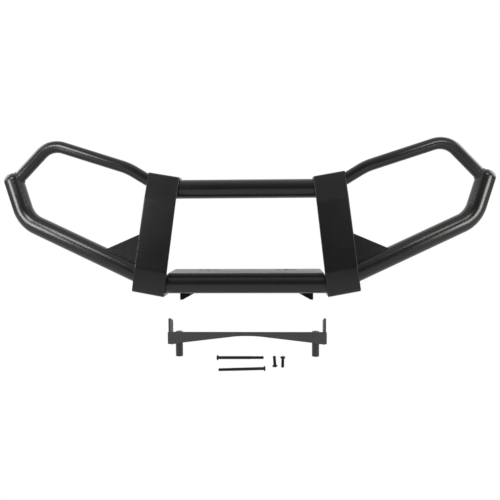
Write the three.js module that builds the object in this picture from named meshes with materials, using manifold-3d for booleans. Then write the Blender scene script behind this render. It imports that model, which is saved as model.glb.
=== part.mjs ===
// Front grille guard for an off-road utility vehicle, with its mounting bracket and screws laid
// out below it. Millimetres. +X is to the right seen from the front, +Y runs rearward (towards
// the vehicle), +Z is up. "left" and "right" are as seen by somebody in front of the guard.
// The dimensions below are measured from the centre of the lower tube's straight middle. The
// finished group is lowered by ROW_ORIGIN_Z, so the row's origin is the point straight above
// that centre on the light plate's top face.

import * as THREE from 'three';
import { mergeVertices } from 'three/addons/utils/BufferGeometryUtils.js';
import Module from 'manifold-3d';

const wasm = await Module();
wasm.setup();

// ---------------------------------------------------------------- driving dimensions
const GAP = 0.35;               // air left between neighbouring pieces, in place of the weld

const MAIN_OD = 50.8;           // 2 in tube: lower tube and upper cross tube
const MAIN_WALL = 3.0;
const HOOP_OD = 32.0;           // 1 1/4 in tube: the two wing hoops
const HOOP_WALL = 2.5;
const TUBE_SIDES = 24;
const BORE_SIDES = 12;

// Centre-line corners of the right half of the lower tube, and its bend radius
const LOWER_BEND = [225, 0, 0];
const WING_BEND = [604, 60, 168];
const WING_TIP = [637.3, 62, 277];
const MAIN_CLR = 76;

const UPPER_Y = 62;             // upper cross tube
const UPPER_Z = 250;
const UPPER_HALF = 240;

// Centre-line corners of the right hoop, from the wing tip to the upper cross tube
const HOOP_START = [634, 62, 272];
const HOOP_PEAK = [532.4, 62, 375.5];
const HOOP_KNEE = [319.5, 58, 307.5];
const HOOP_END = [225, 62, 250];
const HOOP_PEAK_CLR = 60;
const HOOP_KNEE_CLR = 150;

const CAP_RISE = 20;            // domed end cap of the wing tip
const CAP_PLUG = 14;

// Upright: bent flat strap. Corners of its front face on the strap's middle line, as [x, y, z]
const STRAP_WIDTH = 86;
const STRAP_THICK = 5;
const STRAP_BOTTOM = [253.9, -30, -24.9];
const STRAP_LOWER_BEND = [244.4, -31, 40.6];
const STRAP_UPPER_BEND = [227.4, 16, 218];
const STRAP_TOP = [221.2, 47, 288.9];
const STRAP_REAR_Y = 103;       // where both flanges end
const STRAP_ROLL = THREE.MathUtils.degToRad(9.9);  // the inner edge sits lower
const STRAP_YAW = THREE.MathUtils.degToRad(4.1);   // the outer edge sits further back
const STRAP_CORNER_R = 12;

const PLATE_HALF = 202;         // light plate on top of the lower tube
const PLATE_FRONT_Y = -16;
const PLATE_REAR_Y = 103;
const PLATE_THICK = 3.2;
const PLATE_HOLE_Y = 72;
const PLATE_LAMP_HOLE = { x: 106.6, r: 4.75 };
const PLATE_WIRE_HOLES = { offsets: [-20.1, 20.4], r: 2.75 };

const ROW_ORIGIN_Z = MAIN_OD / 2 + GAP + PLATE_THICK;

const GUSSET_THICK = 4;         // triangular plate between upright and wing tube
const GUSSET_FOOT = [284, 1.3]; // x, y where it passes the upright's outer edge
const GUSSET_OUTLINE = [[-22, 38], [92, 88], [92, 89.9], [0, 128], [-22, 137.2]];

const TAB_X = 172;              // inner face of the rear mounting tab
const TAB_THICK = 5;
const TAB_FRONT_Y = 18;
const TAB_OUTLINE = [[18, -10], [18, -45.5], [23, -45.5], [23, -20.5], [80, -20.5], [80, 5], [21, 5]];
const TAB_FOOT = [[136, -26.5], [170, -45.5], [173, -45.5], [173, -8], [136, -8]];
const TAB_HOLE = { y: 67.5, z: -10, r: 4.5 };
const BOSS_OD = 16;
const BOSS_END_X = 202.2;
const BOSS_BORE_R = 3.4;        // M8 tapping size

// Bracket: laid out below the guard. Moving it by BRACKET_TRAVEL puts its ear holes on the tabs.
const BRACKET_TRAVEL = [-1.5, 31.5, 106.1];
const BRACKET_AT = [1.5, 0, -127.6];                // top front edge of the web, in its middle
const WEB_HALF = 209.8;
const WEB_THICK = 3;
const WEB_OUTLINE = [[WEB_HALF, -33], [188, -33], [172, -29.5], [34, -12.9], [12, -11.6]];
const FLANGE_DEPTH = 26;
const FLANGE_DROP = 7.4;        // the flange falls away to the rear
const FLANGE_HALF = 202.8;
const EAR_X = 203.2;
const EAR_THICK = 5;
const EAR_FRONT_Y = 3.35;
const EAR_OUTLINE = [[0, -33], [45, -46], [45, 22], [0, 36]];
const EAR_HOLE = { y: 36, z: 11.5, r: 4.5 };
const SPACER = { x: 181.4, y: 14, od: 19.05, bore: 8.8, top: -1.5, bottom: -67.9 };

// Button-head screws, M8
const SCREW_R = 4;
const HEAD_R = 7;
const HEAD_H = 4.4;
const SOCKET_AF = 5;
const SOCKET_DEPTH = 2.6;
const LONG_SCREW = 120;
const SHORT_SCREW = 25;

// ---------------------------------------------------------------- finishes
const FINISH = {
  powder: { color: 0x202122, roughness: 0.42, metalness: 0.25 },
  bracket: { color: 0x3a3a39, roughness: 0.62, metalness: 0.3 },
  oxide: { color: 0x121212, roughness: 0.5, metalness: 0.5 },
};

// ---------------------------------------------------------------- solids
const vec = (a) => new THREE.Vector3(a[0], a[1], a[2]);

function toSolid(geometry) {
  const bare = geometry.clone();
  bare.deleteAttribute('normal');
  bare.deleteAttribute('uv');
  const merged = mergeVertices(bare, 1e-4);
  return new wasm.Manifold(new wasm.Mesh({
    numProp: 3,
    vertProperties: new Float32Array(merged.attributes.position.array),
    triVerts: new Uint32Array(merged.index.array),
  }));
}

function toGeometry(solid) {
  const mesh = solid.getMesh();
  const count = mesh.vertProperties.length / mesh.numProp;
  const position = new Float32Array(count * 3);
  for (let i = 0; i < count; i += 1) {
    for (let k = 0; k < 3; k += 1) position[3 * i + k] = mesh.vertProperties[mesh.numProp * i + k];
  }
  const geometry = new THREE.BufferGeometry();
  geometry.setAttribute('position', new THREE.BufferAttribute(position, 3));
  geometry.setIndex(new THREE.BufferAttribute(new Uint32Array(mesh.triVerts), 1));
  return geometry;
}

// Same surface with its faces turned the other way
function flipped(geometry) {
  const out = geometry.index ? geometry.clone() : mergeVertices(geometry.clone(), 1e-4);
  const index = out.index.array;
  for (let i = 0; i < index.length; i += 3) [index[i], index[i + 1]] = [index[i + 1], index[i]];
  return out;
}

function mirroredX(geometry) {
  const out = flipped(geometry);
  out.applyMatrix4(new THREE.Matrix4().makeScale(-1, 1, 1));
  return out;
}

// Solid of revolution from a LatheGeometry, whichever way its profile ran
function revolved(geometry) {
  const solid = toSolid(geometry);
  return solid.volume() < 0 ? toSolid(flipped(geometry)) : solid;
}

// Path of { p, t } stations through corner points, with an arc of the given radius at each
// inner corner.
function bentPath(corners, radii, steps) {
  const pts = corners.map(vec);
  const stations = [];
  const dir = (i) => pts[i + 1].clone().sub(pts[i]).normalize();
  stations.push({ p: pts[0].clone(), t: dir(0) });
  for (let i = 1; i < pts.length - 1; i += 1) {
    const a = dir(i - 1);
    const b = dir(i);
    const turn = a.angleTo(b);
    const axis = a.clone().cross(b).normalize();
    const start = pts[i].clone().addScaledVector(a, -radii[i - 1] * Math.tan(turn / 2));
    const toCentre = axis.clone().cross(a);
    const centre = start.clone().addScaledVector(toCentre, radii[i - 1]);
    for (let k = 0; k <= steps[i - 1]; k += 1) {
      const q = new THREE.Quaternion().setFromAxisAngle(axis, (turn * k) / steps[i - 1]);
      const arm = toCentre.clone().multiplyScalar(-radii[i - 1]).applyQuaternion(q);
      stations.push({ p: centre.clone().add(arm), t: a.clone().applyQuaternion(q) });
    }
  }
  stations.push({ p: pts[pts.length - 1].clone(), t: dir(pts.length - 2) });
  return stations;
}

// Round bar along a path, closed at both ends; extend lengthens both ends.
function bar(stations, radius, sides, extend = 0) {
  const path = stations.map((s) => ({ p: s.p.clone(), t: s.t }));
  path[0].p.addScaledVector(path[0].t, -extend);
  path[path.length - 1].p.addScaledVector(path[path.length - 1].t, extend);
  const alongY = Math.abs(path[0].t.y) > 0.9;
  const normal = alongY ? new THREE.Vector3(1, 0, 0) : new THREE.Vector3(0, 1, 0);
  normal.addScaledVector(path[0].t, -normal.dot(path[0].t)).normalize();
  const position = [];
  const index = [];
  path.forEach((station, i) => {
    if (i > 0) {
      normal.applyQuaternion(new THREE.Quaternion().setFromUnitVectors(path[i - 1].t, station.t));
    }
    const side = station.t.clone().cross(normal);
    for (let k = 0; k < sides; k += 1) {
      const angle = (2 * Math.PI * (k + 0.5)) / sides;
      const point = station.p.clone()
        .addScaledVector(normal, radius * Math.cos(angle))
        .addScaledVector(side, radius * Math.sin(angle));
      position.push(point.x, point.y, point.z);
    }
  });
  for (let i = 0; i < path.length - 1; i += 1) {
    for (let k = 0; k < sides; k += 1) {
      const a = i * sides + k;
      const b = i * sides + ((k + 1) % sides);
      index.push(a, b, b + sides, a, b + sides, a + sides);
    }
  }
  const last = (path.length - 1) * sides;
  for (let k = 1; k < sides - 1; k += 1) {
    index.push(0, k + 1, k, last, last + k, last + k + 1);
  }
  const geometry = new THREE.BufferGeometry();
  geometry.setAttribute('position', new THREE.Float32BufferAttribute(position, 3));
  geometry.setIndex(index);
  return toSolid(geometry);
}

function tube(stations, od, wall, sides = TUBE_SIDES) {
  return bar(stations, od / 2, sides).subtract(bar(stations, od / 2 - wall, BORE_SIDES, 1));
}

// Cylinder along a row axis from one coordinate to another.
function rod(axis, from, to, centre, radius, sides = 20) {
  const a = [...centre];
  const b = [...centre];
  const k = 'xyz'.indexOf(axis);
  a[k] = from;
  b[k] = to;
  return bar(bentPath([a, b], [], []), radius, sides);
}

// Outline with its corners rounded; radii is one number or one per corner.
function rounded(outline, radii, steps = 4) {
  const out = [];
  outline.forEach((corner, i) => {
    const radius = Array.isArray(radii) ? radii[i] : radii;
    const p = new THREE.Vector2(...corner);
    const before = new THREE.Vector2(...outline[(i + outline.length - 1) % outline.length]);
    const after = new THREE.Vector2(...outline[(i + 1) % outline.length]);
    if (!radius) {
      out.push(p);
      return;
    }
    const u = before.sub(p).normalize();
    const w = after.sub(p).normalize();
    const half = Math.acos(THREE.MathUtils.clamp(u.dot(w), -1, 1)) / 2;
    const centre = p.clone().addScaledVector(u.clone().add(w).normalize(), radius / Math.sin(half));
    const from = p.clone().addScaledVector(u, radius / Math.tan(half)).sub(centre);
    const to = p.clone().addScaledVector(w, radius / Math.tan(half)).sub(centre);
    const sweep = Math.atan2(from.cross(to), from.dot(to));
    for (let k = 0; k <= steps; k += 1) {
      out.push(from.clone().rotateAround(new THREE.Vector2(), (sweep * k) / steps).add(centre));
    }
  });
  return out;
}

function circle(x, y, r, sides = 20) {
  const points = [];
  for (let k = 0; k < sides; k += 1) {
    const angle = (2 * Math.PI * k) / sides;
    points.push(new THREE.Vector2(x + r * Math.cos(angle), y + r * Math.sin(angle)));
  }
  return points;
}

// Flat plate: an outline in the plane of u and v, pushed thickness along w = u x v.
function plate(outline, holes, thickness, origin, u, v) {
  const shape = new THREE.Shape(outline);
  holes.forEach((hole) => shape.holes.push(new THREE.Path(hole)));
  const geometry = new THREE.ExtrudeGeometry(shape, { depth: thickness, bevelEnabled: false });
  const w = vec(u).cross(vec(v)).normalize();
  geometry.applyMatrix4(new THREE.Matrix4().makeBasis(vec(u), vec(v), w).setPosition(vec(origin)));
  return toSolid(geometry);
}

// ---------------------------------------------------------------- lower and upper tubes
const flip = (p) => [-p[0], p[1], p[2]];
const lowerPath = bentPath(
  [flip(WING_TIP), flip(WING_BEND), flip(LOWER_BEND), LOWER_BEND, WING_BEND, WING_TIP],
  [MAIN_CLR, MAIN_CLR, MAIN_CLR, MAIN_CLR],
  [5, 3, 3, 5],
);
const lowerEnvelope = bar(lowerPath, MAIN_OD / 2 + GAP, TUBE_SIDES, GAP);
const lowerTube = tube(lowerPath, MAIN_OD, MAIN_WALL);

const upperPath = bentPath([[-UPPER_HALF, UPPER_Y, UPPER_Z], [UPPER_HALF, UPPER_Y, UPPER_Z]], [], []);
const upperEnvelope = bar(upperPath, MAIN_OD / 2 + GAP, TUBE_SIDES, GAP);
const upperTube = tube(upperPath, MAIN_OD, MAIN_WALL);

// Domed end cap: a plug inside the tube, then a shoulder and a dome outside it.
// extra thickens it, for trimming its neighbour.
function capSolid(extra = 0) {
  const rOuter = MAIN_OD / 2 + extra;
  const rPlug = (MAIN_OD / 2 - MAIN_WALL) * Math.cos(Math.PI / BORE_SIDES) - GAP;
  const shoulder = GAP - 3 * extra;
  const profile = [[0, -CAP_PLUG], [rPlug, -CAP_PLUG], [rPlug, shoulder], [rOuter, shoulder]];
  for (let k = 1; k < 8; k += 1) {
    const angle = (Math.PI / 2) * (k / 8);
    profile.push([rOuter * Math.cos(angle), GAP + (CAP_RISE + extra) * Math.sin(angle)]);
  }
  profile.push([0, GAP + CAP_RISE + extra]);
  const points = profile.map((p) => new THREE.Vector2(p[0], p[1]));
  const geometry = new THREE.LatheGeometry(points, TUBE_SIDES);
  const end = lowerPath[lowerPath.length - 1];
  const q = new THREE.Quaternion().setFromUnitVectors(new THREE.Vector3(0, 1, 0), end.t);
  geometry.applyMatrix4(new THREE.Matrix4().compose(end.p, q, new THREE.Vector3(1, 1, 1)));
  return revolved(geometry);
}

// ---------------------------------------------------------------- wing hoop (right)
const hoopPath = bentPath([HOOP_START, HOOP_PEAK, HOOP_KNEE, HOOP_END],
  [HOOP_PEAK_CLR, HOOP_KNEE_CLR], [7, 3]);
const hoopEnvelope = bar(hoopPath, HOOP_OD / 2 + GAP, TUBE_SIDES);
const hoop = tube(hoopPath, HOOP_OD, HOOP_WALL, 20)
  .subtract(lowerEnvelope)
  .subtract(capSolid(GAP))
  .subtract(upperEnvelope);

// ---------------------------------------------------------------- upright strap (right)
const strapCorners = [STRAP_BOTTOM, STRAP_LOWER_BEND, STRAP_UPPER_BEND, STRAP_TOP];

// x of the strap's middle line at height z
function strapMiddleX(z) {
  let i = 0;
  while (i < 2 && z > strapCorners[i + 1][2]) i += 1;
  const [a, b] = [strapCorners[i], strapCorners[i + 1]];
  return a[0] + ((b[0] - a[0]) * (z - a[2])) / (b[2] - a[2]);
}

// Strap coordinates: s across its width, y and z on its middle line
function strapToRow(geometry) {
  const position = geometry.attributes.position;
  for (let i = 0; i < position.count; i += 1) {
    const [s, y, z] = [position.getX(i), position.getY(i), position.getZ(i)];
    position.setXYZ(i,
      strapMiddleX(z) + s * Math.cos(STRAP_ROLL) * Math.cos(STRAP_YAW),
      y + s * Math.sin(STRAP_YAW),
      z + s * Math.sin(STRAP_ROLL) * Math.cos(STRAP_YAW));
  }
  return geometry;
}

// Same line moved inwards by d, with mitred corners
function offsetLine(points, d) {
  const sides = points.slice(1).map((p, i) => {
    const along = new THREE.Vector2(p[0] - points[i][0], p[1] - points[i][1]).normalize();
    return { along, inward: new THREE.Vector2(along.y, -along.x) };
  });
  return points.map((p, i) => {
    const a = sides[Math.max(0, i - 1)];
    const b = sides[Math.min(sides.length - 1, i)];
    const mitre = a.inward.clone().add(b.inward).normalize();
    const length = d / mitre.dot(a.inward);
    return [p[0] + mitre.x * length, p[1] + mitre.y * length];
  });
}

function strapSolid() {
  const line = [[STRAP_REAR_Y, STRAP_BOTTOM[2]], ...strapCorners.map((c) => [c[1], c[2]]),
    [STRAP_REAR_Y, STRAP_TOP[2]]];
  const back = offsetLine(line, STRAP_THICK);
  const outline = rounded([...line, ...back.reverse()],
    [0, 6.5, 30, 30, 6.5, 0, 0, 1.5, 25, 25, 1.5, 0], 3);
  const geometry = new THREE.ExtrudeGeometry(new THREE.Shape(outline),
    { depth: STRAP_WIDTH, bevelEnabled: false });
  // outline x, y, depth -> y, z, s
  geometry.applyMatrix4(new THREE.Matrix4().set(
    0, 0, 1, -STRAP_WIDTH / 2,
    1, 0, 0, 0,
    0, 1, 0, 0,
    0, 0, 0, 1,
  ));
  let solid = toSolid(strapToRow(geometry));
  for (const [low, high] of [[-60, 5], [262, 315]]) {
    for (const side of [-1, 1]) solid = solid.subtract(strapCornerCutter(side, low, high));
  }
  return solid;
}

// What is cut away to round one rear corner of a flange
function strapCornerCutter(side, low, high) {
  const half = STRAP_WIDTH / 2;
  const r = STRAP_CORNER_R;
  const outline = [[half - r, STRAP_REAR_Y + 2]];
  for (let k = 0; k <= 4; k += 1) {
    const angle = (Math.PI / 2) * (1 - k / 4);
    outline.push([half - r + r * Math.cos(angle), STRAP_REAR_Y - r + r * Math.sin(angle)]);
  }
  outline.push([half + 3, STRAP_REAR_Y - r], [half + 3, STRAP_REAR_Y + 2]);
  const points = outline.map((p) => new THREE.Vector2(side * p[0], p[1]));
  const geometry = new THREE.ExtrudeGeometry(new THREE.Shape(points),
    { depth: high - low, bevelEnabled: false });
  geometry.translate(0, 0, low);
  return toSolid(strapToRow(geometry));
}

const strapWhole = strapSolid();
const strap = strapWhole.subtract(hoopEnvelope).subtract(lowerEnvelope).subtract(upperEnvelope);

// ---------------------------------------------------------------- light plate, gusset, tab
function lightPlate() {
  const outline = rounded([
    [-PLATE_HALF, PLATE_FRONT_Y], [PLATE_HALF, PLATE_FRONT_Y],
    [PLATE_HALF, PLATE_REAR_Y], [-PLATE_HALF, PLATE_REAR_Y]], 3, 3);
  const holes = [];
  for (const side of [-1, 1]) {
    holes.push(circle(side * PLATE_LAMP_HOLE.x, PLATE_HOLE_Y, PLATE_LAMP_HOLE.r));
    for (const offset of PLATE_WIRE_HOLES.offsets) {
      const x = side * (PLATE_LAMP_HOLE.x + offset);
      holes.push(circle(x, PLATE_HOLE_Y, PLATE_WIRE_HOLES.r, 14));
    }
  }
  const z = MAIN_OD / 2 + GAP;
  return plate(outline, holes, PLATE_THICK, [0, 0, z], [1, 0, 0], [0, 1, 0]);
}

function gusset() {
  const run = vec(WING_BEND).sub(vec(LOWER_BEND)).setZ(0).normalize();
  const across = new THREE.Vector3(-run.y, run.x, 0);
  const origin = new THREE.Vector3(GUSSET_FOOT[0], GUSSET_FOOT[1], 0)
    .addScaledVector(across, GUSSET_THICK / 2);
  // u x v points forward, so the plate grows from its rear face
  const blank = plate(rounded(GUSSET_OUTLINE, 0), [], GUSSET_THICK, origin.toArray(),
    run.toArray(), [0, 0, 1]);
  return blank.subtract(lowerEnvelope).subtract(inflatedStrap());
}

// The strap made thicker on its rear side, to trim the gusset clear of it
function inflatedStrap() {
  const geometry = toGeometry(strapWhole);
  geometry.translate(0, GAP + 0.1, 0);
  return toSolid(geometry);
}

function mountTab() {
  const ear = plate(
    rounded(TAB_OUTLINE, [0, 1, 1, 2, 8, 8, 0], 3),
    [circle(TAB_HOLE.y, TAB_HOLE.z, TAB_HOLE.r)],
    TAB_THICK, [TAB_X, 0, 0], [0, 1, 0], [0, 0, 1],
  );
  // triangular foot across the tube, folded inboard from the ear's front edge
  const foot = plate(rounded(TAB_FOOT, 0), [], TAB_THICK, [0, TAB_FRONT_Y + TAB_THICK, 0],
    [1, 0, 0], [0, 0, 1]);
  return ear.add(foot).subtract(lowerEnvelope);
}

function threadedBoss() {
  const centre = [0, TAB_HOLE.y, TAB_HOLE.z];
  const from = TAB_X + TAB_THICK + GAP;
  return rod('x', from, BOSS_END_X, centre, BOSS_OD / 2, 24)
    .subtract(rod('x', from - 1, BOSS_END_X + 1, centre, BOSS_BORE_R, 16));
}

// ---------------------------------------------------------------- bracket
const [BX, BY, BZ] = BRACKET_AT;

function crossmember() {
  const t = WEB_THICK;
  const angle = Math.atan2(FLANGE_DROP, FLANGE_DEPTH);
  const section = rounded([[0, -34], [0, 0], [FLANGE_DEPTH, -FLANGE_DROP],
    [FLANGE_DEPTH - t * Math.sin(angle), -FLANGE_DROP - t * Math.cos(angle)],
    [t, -t - t * Math.tan(angle)], [t, -34]], [0, 4.5, 0, 0, 1.5, 0], 4);
  const blank = plate(section, [], 2 * WEB_HALF, [BX - WEB_HALF, BY, BZ], [0, 1, 0], [0, 0, 1]);
  const right = WEB_OUTLINE;
  const left = WEB_OUTLINE.map((p) => [-p[0], p[1]]).reverse();
  const face = [...right, ...left, [-WEB_HALF, 1], [WEB_HALF, 1]];
  const outline = plate(rounded(face, 0).reverse(), [], 60, [BX, BY + 50, BZ], [1, 0, 0], [0, 0, 1]);
  let solid = blank.intersect(outline);
  for (const side of [-1, 1]) {
    const x = BX + side * FLANGE_HALF;
    const box = [[0, WEB_THICK + 0.02], [side * 20, WEB_THICK + 0.02], [side * 20, 60], [0, 60]];
    const end = plate(rounded(side > 0 ? box : box.reverse(), 0), [], 60, [x, BY, BZ - 45],
      [1, 0, 0], [0, 1, 0]);
    const hole = rod('z', BZ - 40, BZ + 10, [BX + side * SPACER.x, BY + SPACER.y, 0],
      SPACER.od / 2 + GAP, 24);
    solid = solid.subtract(end).subtract(hole);
  }
  return solid;
}

function ear(side) {
  const inner = side > 0 ? EAR_X : -EAR_X - EAR_THICK;
  return plate(rounded(EAR_OUTLINE, [2, 6, 6, 5], 3), [circle(EAR_HOLE.y - EAR_FRONT_Y, EAR_HOLE.z,
    EAR_HOLE.r)], EAR_THICK, [BX + inner, BY + EAR_FRONT_Y, BZ], [0, 1, 0], [0, 0, 1]);
}

function spacer(side) {
  const centre = [BX + side * SPACER.x, BY + SPACER.y, 0];
  return rod('z', BZ + SPACER.bottom, BZ + SPACER.top, centre, SPACER.od / 2, 24)
    .subtract(rod('z', BZ + SPACER.bottom - 1, BZ + SPACER.top + 1, centre, SPACER.bore / 2, 16));
}

// ---------------------------------------------------------------- screws
// Button-head socket screw along +Y of its own space: the head's top at y = 0, the tip at
// y = HEAD_H + length.
function screw(length) {
  const end = HEAD_H + length;
  const profile = [[0, 0], [3.6, 0], [5.4, 0.9], [6.5, 2.2], [HEAD_R, 3.6], [HEAD_R, HEAD_H],
    [SCREW_R, HEAD_H], [SCREW_R, end - 0.9], [SCREW_R - 0.9, end], [0, end]];
  const geometry = new THREE.LatheGeometry(profile.map((p) => new THREE.Vector2(...p)), 18);
  return revolved(geometry).subtract(rod('y', -1, SOCKET_DEPTH, [0, 0, 0], SOCKET_AF / Math.sqrt(3), 6));
}

// Lay a screw out: head's top centre at "at", pointing along "along"
function laidOut(length, at, along) {
  const geometry = toGeometry(screw(length));
  const q = new THREE.Quaternion().setFromUnitVectors(new THREE.Vector3(0, 1, 0),
    vec(along).normalize());
  geometry.applyMatrix4(new THREE.Matrix4().compose(vec(at), q, new THREE.Vector3(1, 1, 1)));
  return geometry;
}

const LAYOUT = {
  long_bolt_upper: [LONG_SCREW, [-79, 0, -196.9], [1, 0, 0.004]],
  long_bolt_lower: [LONG_SCREW, [50.2, 0, -225.6], [-1, 0, -0.03]],
  short_bolt_left: [SHORT_SCREW, [75.2, 0, -221.6], [-0.06, 0, 1]],
  short_bolt_right: [SHORT_SCREW, [95.9, 0, -192.9], [-0.02, 0, -1]],
};

// ---------------------------------------------------------------- assembly
const group = new THREE.Group();
group.name = 'front_grille_guard';

function addPiece(name, geometry, finish) {
  const flat = geometry.index ? geometry.toNonIndexed() : geometry;
  flat.translate(0, 0, -ROW_ORIGIN_Z);
  flat.computeVertexNormals();
  const mesh = new THREE.Mesh(flat, new THREE.MeshStandardMaterial(FINISH[finish]));
  mesh.name = name;
  group.add(mesh);
}

function addPair(name, solid, finish) {
  const right = toGeometry(solid);
  addPiece(`${name}_left`, mirroredX(right), finish);
  addPiece(`${name}_right`, right, finish);
}

addPiece('lower_main_tube', toGeometry(lowerTube), 'powder');
addPiece('upper_cross_tube', toGeometry(upperTube), 'powder');
addPair('hoop_tube', hoop, 'powder');
addPair('tube_end_cap', capSolid(), 'powder');
addPair('upright_strap', strap, 'powder');
addPiece('light_plate', toGeometry(lightPlate()), 'powder');
addPair('wing_gusset', gusset(), 'powder');
addPair('mount_tab', mountTab(), 'powder');
addPair('threaded_boss', threadedBoss(), 'powder');
addPiece('bracket_crossmember', toGeometry(crossmember()), 'bracket');
for (const [word, side] of [['left', -1], ['right', 1]]) {
  addPiece(`bracket_ear_${word}`, toGeometry(ear(side)), 'bracket');
  addPiece(`spacer_sleeve_${word}`, toGeometry(spacer(side)), 'bracket');
}
for (const [name, [length, at, along]] of Object.entries(LAYOUT)) {
  addPiece(name, laidOut(length, at, along), 'oxide');
}

export default group;
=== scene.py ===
"""Looks of a front grille guard with its mounting bracket and screws laid out below it.

Dimensions are in millimetres measured from the lower tube's axis, as in the CAD source; mesh
data is written in metres in the row frame, whose origin is ORIGIN_Z above that axis.
"""
import math

import bmesh
import bpy
from mathutils import Matrix, Quaternion, Vector, noise


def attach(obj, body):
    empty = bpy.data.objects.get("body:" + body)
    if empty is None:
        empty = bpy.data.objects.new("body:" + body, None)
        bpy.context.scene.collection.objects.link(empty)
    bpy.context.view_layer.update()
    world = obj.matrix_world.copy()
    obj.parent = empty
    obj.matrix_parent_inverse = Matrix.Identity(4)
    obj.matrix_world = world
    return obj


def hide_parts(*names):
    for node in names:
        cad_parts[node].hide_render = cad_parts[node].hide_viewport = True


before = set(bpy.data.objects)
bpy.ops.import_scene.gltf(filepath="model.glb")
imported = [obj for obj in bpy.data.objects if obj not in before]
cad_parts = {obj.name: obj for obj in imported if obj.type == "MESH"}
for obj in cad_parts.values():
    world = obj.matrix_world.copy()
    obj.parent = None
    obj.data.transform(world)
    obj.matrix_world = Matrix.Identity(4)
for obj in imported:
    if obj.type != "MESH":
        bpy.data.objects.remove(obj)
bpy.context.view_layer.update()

MM = 0.001
ORIGIN_Z = 28.95

# ------------------------------------------------------------------ CAD dimensions (mm)
GAP = 0.35              # left open in the CAD between welded neighbours
MAIN_R, MAIN_WALL = 25.4, 3.0
HOOP_R, HOOP_WALL = 16.0, 2.5
LOWER_BEND, WING_BEND, WING_TIP = (225, 0, 0), (604, 60, 168), (637.3, 62, 277)
MAIN_CLR = 76
UPPER_Y, UPPER_Z, UPPER_HALF = 62, 250, 240
HOOP_PATH = [(634, 62, 272), (532.4, 62, 375.5), (319.5, 58, 307.5), (225, 62, 250)]
HOOP_CLRS = [60, 150]
CAP_RISE, CAP_PLUG_DEPTH, CAP_PLUG_PLAY, CAP_SHOULDER = 20, 14, 1.1, 0.3
STRAP_WIDTH, STRAP_THICK, STRAP_REAR_Y, STRAP_CORNER_R, STRAP_EDGE_R = 86, 5, 103, 12, 2.3
STRAP_CORNERS = [(253.9, -30, -24.9), (244.4, -31, 40.6), (227.4, 16, 218), (221.2, 47, 288.9)]
STRAP_ROLL, STRAP_YAW = math.radians(9.9), math.radians(4.1)
STRAP_FOLD_R, STRAP_BEND_R = 7.5, 40     # outer radii where it folds to the rear and where it leans
PLATE_HALF, PLATE_Y, PLATE_THICK = 202, (-16, 103), 3.2
PLATE_HOLES = [(106.6, 4.75), (86.5, 2.75), (127.0, 2.75)]     # x and radius
PLATE_HOLE_Y = 72
GUSSET_FOOT, GUSSET_THICK = (284, 1.3), 4
GUSSET_OUTLINE = [(-22, 38), (92, 88), (92, 89.9), (0, 128), (-22, 137.2)]
TAB_X, TAB_THICK, TAB_FRONT_Y = 172, 5, 18
TAB_OUTLINE = [(18, -10), (18, -45.5), (23, -45.5), (23, -20.5), (80, -20.5), (80, 5), (21, 5)]
TAB_FOOT = [(136, -26.5), (170, -45.5), (173, -45.5), (173, -8), (136, -8)]
TAB_HOLE = (67.5, -10, 4.5)                 # y, z and radius
BOSS_R, BOSS_BORE, BOSS_END_X = 8, 3.4, 202.2
BX, BY, BZ = 1.5, 0, -127.6                 # middle of the bracket's upper front edge
WEB_HALF, WEB_THICK = 209.8, 3
WEB_EDGE = [(209.8, -33), (188, -33), (172, -29.5), (34, -12.9), (12, -11.6)]
WEB_EDGE_RADII = [0, 0, 60, 60, 120]
FLANGE_DEPTH, FLANGE_DROP, FLANGE_HALF = 26, 7.4, 202.8
EAR_X, EAR_THICK, EAR_FRONT = 203.2, 5, 3.35
EAR_OUTLINE = [(0, -33), (45, -46), (45, 22), (0, 36)]
EAR_HOLE = (36, 11.5, 4.5)
SPACER_X, SPACER_Y, SPACER_R, SPACER_BORE, SPACER_Z = 181.4, 14, 9.525, 4.4, (-67.9, -1.5)
SCREW_R, HEAD_R, HEAD_H, SOCKET_AF, SOCKET_DEPTH, PITCH = 4, 7, 4.4, 5, 2.6, 1.25
# length under the head, threaded length, middle of the head's top, direction of the shank
SCREWS = {
    "long_bolt_upper": (120, 34, (-79, 0, -196.9), (1, 0, 0.004)),
    "long_bolt_lower": (120, 34, (50.2, 0, -225.6), (-1, 0, -0.03)),
    "short_bolt_left": (25, 23, (75.2, 0, -221.6), (-0.06, 0, 1)),
    "short_bolt_right": (25, 23, (95.9, 0, -192.9), (-0.02, 0, -1)),
}

SIDES = (("left", -1), ("right", 1))

# ------------------------------------------------------------------ visual detail (mm)
SINK_DEPTH = 2.2        # bevelled rim of the plate's holes
THREAD_DEPTH = 0.62
BOSS_THREAD_DEPTH = 0.6
TIP_BEAD_R, ROOT_BEAD_R, GUSSET_BEAD_R, BOSS_BEAD_R = 2.5, 2.4, 1.4, 1.7
BEAD_PITCH, BOSS_BEAD_PITCH, PLATE_WELD_PITCH = 2.6, 2.2, 3.4
GUSSET_BEAD_OFFSET, GUSSET_BEAD_SPAN = 2.6, (-18, 86)
# weld at the light plate's front edge: y from that edge, z above the tube's axis
PLATE_WELD = [(2, 28.7), (-0.5, 28.3), (-2.6, 26.9), (-4.2, 24.8), (-5.2, 22.2), (-5.7, 19.2),
              (-5.7, 16.2), (-5.4, 13.6), (-3.2, 14.6), (4, 21.0)]
# button head from the middle of its top down to the shank: radius, depth
HEAD_PROFILE = [(0, 0), (2.4, 0.02), (3.7, 0.1), (4.7, 0.42), (5.6, 1.0), (6.3, 1.8), (6.75, 2.7),
                (HEAD_R - 0.02, 3.6), (HEAD_R, 4.0), (HEAD_R - 0.25, HEAD_H),
                (SCREW_R + 0.5, HEAD_H), (SCREW_R, HEAD_H + 0.6)]


# ------------------------------------------------------------------ mesh helpers
def show(obj):
    bpy.context.scene.collection.objects.link(obj)
    return obj


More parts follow.
